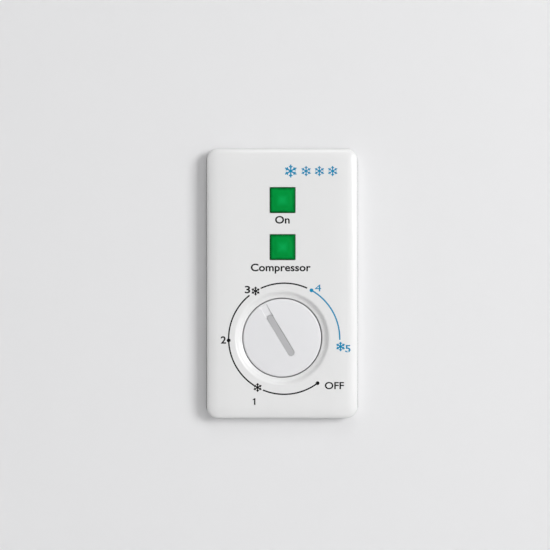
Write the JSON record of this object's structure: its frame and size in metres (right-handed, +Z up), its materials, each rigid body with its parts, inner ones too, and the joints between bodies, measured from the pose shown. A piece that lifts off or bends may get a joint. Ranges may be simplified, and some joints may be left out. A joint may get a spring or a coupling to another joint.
{
  "type": "chest freezer",
  "caption": "Household chest freezer: top-opening insulated lid on rear spring hinges over a metal-lined tub, with a low front thermostat panel, dial and two green lamps.",
  "frame": {"origin": "bottom centre of the bounding box, on the floor", "axes": "+X to the freezer's right-hand end as seen from the front, +Z up; the front with the thermostat panel and the lid handle faces -Y"},
  "size_m": [1.18, 0.688, 0.862],
  "materials": {
    "white_steel": "smooth white powder coat",
    "galvanised": "galvanised sheet",
    "zinc_steel": "zinc-plated",
    "black_steel": "satin black enamel",
    "liner_aluminium": "stucco-embossed",
    "copper": "drawn copper tube",
    "foam": "rigid polyurethane foam",
    "white_plastic": "smooth moulded white",
    "grey_plastic": "moulded grey",
    "black_plastic": "moulded black",
    "green_lens": "green tinted lens",
    "clear_lens": "clear ribbed lens",
    "rubber": "moulded rubber",
    "gasket": "soft grey vinyl",
    "white_wire": "white dipped wire"
  },
  "bodies": {
    "cabinet": {"cabinet_shell": "white_steel", "rear_panel": "white_steel", "base_pan": "galvanised", "compartment_bulkhead": "galvanised", "compressor_carrier": "galvanised", "roller_bracket_front": "zinc_steel", "roller_bracket_rear": "zinc_steel", "roller_pin_front": "zinc_steel", "roller_pin_rear": "zinc_steel", "lock_striker": "zinc_steel", "hinge_base_left": "zinc_steel", "hinge_pin_left": "zinc_steel", "hinge_spring_left": "zinc_steel", "hinge_base_right": "zinc_steel", "hinge_pin_right": "zinc_steel", "hinge_spring_right": "zinc_steel", "compressor_dome": "black_steel", "inner_liner": "liner_aluminium", "evaporator_tube": "copper", "condenser_tube": "copper", "filter_drier": "copper", "capillary_tube": "copper", "sensor_tube": "copper", "cabinet_foam": "foam", "rim_frame": "white_plastic", "side_grille": "white_plastic", "control_fascia": "white_plastic", "drain_tube": "white_plastic", "rear_spacer_left": "grey_plastic", "rear_spacer_right": "grey_plastic", "relay_cover": "black_plastic", "mains_inlet": "black_plastic", "lamp_body_power": "black_plastic", "lamp_body_compressor": "black_plastic", "thermostat_body": "black_plastic", "lamp_lens_power": "green_lens", "lamp_lens_compressor": "green_lens", "grommet_1": "rubber", "grommet_2": "rubber", "grommet_3": "rubber", "grommet_4": "rubber"},
    "lid": {"lid_skin": "white_steel", "lid_liner": "white_plastic", "lid_foam": "foam", "lid_gasket": "gasket", "lid_lamp_lens": "clear_lens", "lid_handle": "white_plastic", "hinge_arm_left": "zinc_steel", "hinge_arm_right": "zinc_steel"},
    "lock": {"lock_barrel": "zinc_steel"},
    "knob": {"thermostat_knob": "white_plastic", "thermostat_shaft": "zinc_steel"},
    "basket_left": {"basket_left": "white_wire"},
    "basket_right": {"basket_right": "white_wire"},
    "drain_plug": {"drain_plug": "rubber"},
    "drain_cap": {"drain_cap": "grey_plastic"},
    "roller_front": {"roller_front": "grey_plastic"},
    "roller_rear": {"roller_rear": "grey_plastic"},
    "foot_front": {"foot_front": "black_plastic"},
    "foot_rear": {"foot_rear": "black_plastic"}
  },
  "joints": [
    {"name": "lid_hinge", "type": "hinge", "parent": "cabinet", "child": "lid", "pos_m": [0, 0.332, 0.8], "axis": [-1, 0, 0], "range_deg": [0, 80], "stiffness_Nm_per_rad": 18, "springref_deg": 80.21},
    {"name": "lock_turn", "type": "hinge", "parent": "lid", "child": "lock", "pos_m": [0, -0.336, 0.8], "axis": [0, 1, 0], "range_deg": [0, 90]},
    {"name": "thermostat_turn", "type": "hinge", "parent": "cabinet", "child": "knob", "pos_m": [0.43, -0.324, 0.1962], "axis": [0, -1, 0], "range_deg": [-129, 186]},
    {"name": "basket_left_slide", "type": "slide", "parent": "cabinet", "child": "basket_left", "axis": [1, 0, 0], "range_m": [0, 0.27]},
    {"name": "basket_right_slide", "type": "slide", "parent": "cabinet", "child": "basket_right", "axis": [-1, 0, 0], "range_m": [0, 0.27]},
    {"name": "drain_plug_lift", "type": "slide", "parent": "cabinet", "child": "drain_plug", "axis": [0, 0, 1], "range_m": [0, 0.04]},
    {"name": "drain_cap_pull", "type": "slide", "parent": "cabinet", "child": "drain_cap", "axis": [0, -1, 0], "range_m": [0, 0.03]},
    {"name": "roller_front_spin", "type": "hinge", "parent": "cabinet", "child": "roller_front", "pos_m": [0.47, -0.235, 0.025], "axis": [0, 1, 0], "continuous": true},
    {"name": "roller_rear_spin", "type": "hinge", "parent": "cabinet", "child": "roller_rear", "pos_m": [0.47, 0.235, 0.025], "axis": [0, 1, 0], "continuous": true},
    {"name": "foot_front_turn", "type": "hinge", "parent": "cabinet", "child": "foot_front", "pos_m": [-0.51, -0.25, 0.03], "axis": [0, 0, 1], "continuous": true},
    {"name": "foot_rear_turn", "type": "hinge", "parent": "cabinet", "child": "foot_rear", "pos_m": [-0.51, 0.25, 0.03], "axis": [0, 0, 1], "continuous": true}
  ]
}
